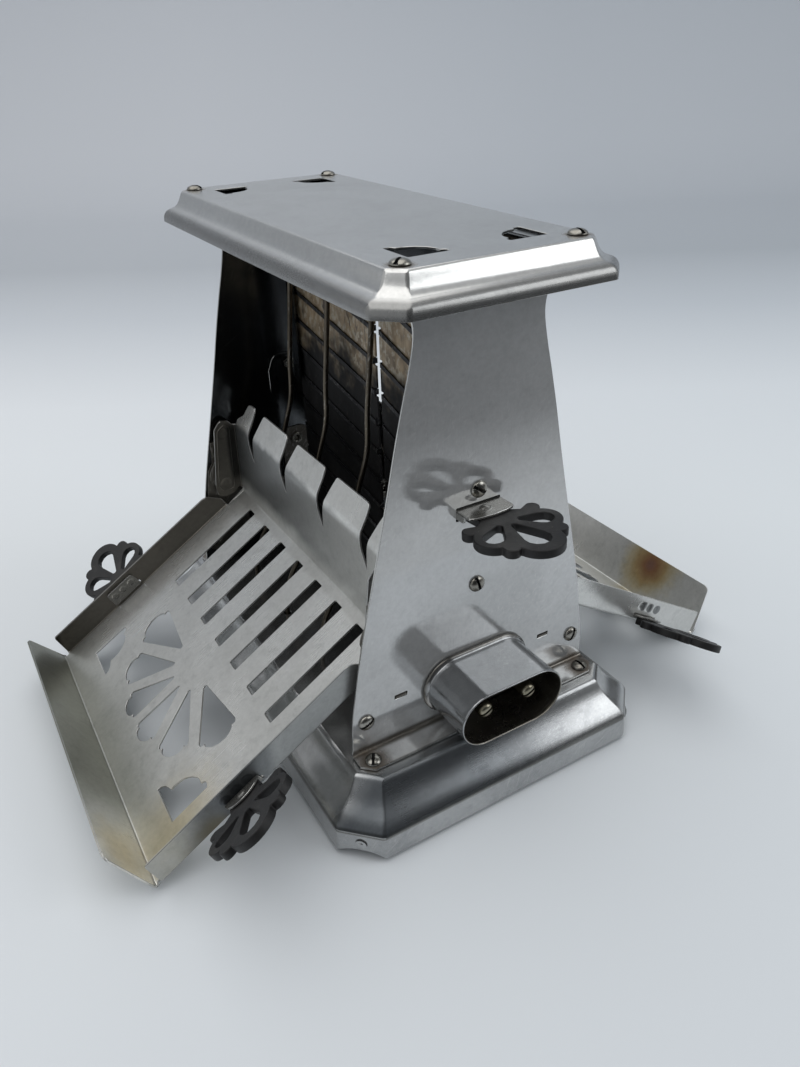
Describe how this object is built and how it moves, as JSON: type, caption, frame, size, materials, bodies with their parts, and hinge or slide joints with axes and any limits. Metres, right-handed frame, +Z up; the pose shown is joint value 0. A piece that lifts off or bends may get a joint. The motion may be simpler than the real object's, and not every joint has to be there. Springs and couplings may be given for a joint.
{
  "type": "turnover toaster",
  "caption": "Turnover bread toaster: flat upright element between two tapered end plates under a pressed cover, with a drop-down slotted door on each long side.",
  "frame": {"origin": "centre of the footprint, on the surface that the feet stand on", "axes": "+Z up; X across the two doors; Y along the body, with the inlet at -Y"},
  "size_m": [0.283, 0.2292, 0.2],
  "materials": {
    "pressed_aluminium": "satin, lightly brushed",
    "polished_plate": "polished, fine scratches",
    "door_sheet": "satin, heat stained",
    "screw_metal": "aged",
    "wire_steel": "heat darkened",
    "under_plate": "dull dark",
    "terminal_brass": "tarnished",
    "resistance_ribbon": "oxidised",
    "handle_fibre": "matt charcoal fibre",
    "mica": "matt, sooty",
    "insulator": "matt dark"
  },
  "bodies": {
    "body": {"base_plate": "under_plate", "base_shell": "pressed_aluminium", "cover_screw_1": "screw_metal", "cover_screw_2": "screw_metal", "cover_screw_3": "screw_metal", "cover_screw_4": "screw_metal", "element_holder_front": "polished_plate", "element_holder_rear": "polished_plate", "element_rail_bottom": "pressed_aluminium", "element_rail_top": "pressed_aluminium", "end_handle_bracket_inlet": "pressed_aluminium", "end_handle_bracket_rear": "pressed_aluminium", "end_handle_inlet": "handle_fibre", "end_handle_rear": "handle_fibre", "end_plate_inlet": "polished_plate", "end_plate_rear": "polished_plate", "flange_screw_1": "screw_metal", "flange_screw_2": "screw_metal", "flange_screw_3": "screw_metal", "flange_screw_4": "screw_metal", "guard_wire_left_front": "wire_steel", "guard_wire_left_rear": "wire_steel", "guard_wire_right_front": "wire_steel", "guard_wire_right_rear": "wire_steel", "heating_winding_front": "resistance_ribbon", "heating_winding_rear": "resistance_ribbon", "hinge_bracket_inlet": "pressed_aluminium", "hinge_bracket_rear": "pressed_aluminium", "inlet_insulator": "insulator", "inlet_pin_left": "terminal_brass", "inlet_pin_right": "terminal_brass", "inlet_shroud": "polished_plate", "lead_strip_left": "terminal_brass", "lead_strip_right": "terminal_brass", "mica_card_front": "mica", "mica_card_rear": "mica", "plate_screw_inlet_1": "screw_metal", "plate_screw_inlet_2": "screw_metal", "plate_screw_inlet_3": "screw_metal", "plate_screw_inlet_4": "screw_metal", "plate_screw_rear_1": "screw_metal", "plate_screw_rear_2": "screw_metal", "plate_screw_rear_3": "screw_metal", "plate_screw_rear_4": "screw_metal", "top_cover": "pressed_aluminium", "winding_link": "terminal_brass"},
    "left_door": {"left_door_handle_a": "handle_fibre", "left_door_handle_b": "handle_fibre", "left_door_handle_bracket_a": "pressed_aluminium", "left_door_handle_bracket_b": "pressed_aluminium", "left_door_hinge_strap_a": "wire_steel", "left_door_hinge_strap_b": "wire_steel", "left_door_tray": "door_sheet"},
    "right_door": {"right_door_handle_a": "handle_fibre", "right_door_handle_b": "handle_fibre", "right_door_handle_bracket_a": "pressed_aluminium", "right_door_handle_bracket_b": "pressed_aluminium", "right_door_hinge_strap_a": "wire_steel", "right_door_hinge_strap_b": "wire_steel", "right_door_tray": "door_sheet"}
  },
  "joints": [
    {"name": "left_door_hinge", "type": "hinge", "parent": "body", "child": "left_door", "pos_m": [-0.0428, 0, 0.0731], "axis": [0, 1, 0], "range_deg": [0, 132.8]},
    {"name": "right_door_hinge", "type": "hinge", "parent": "body", "child": "right_door", "pos_m": [0.0428, 0, 0.0731], "axis": [0, -1, 0], "range_deg": [0, 132.8]}
  ]
}
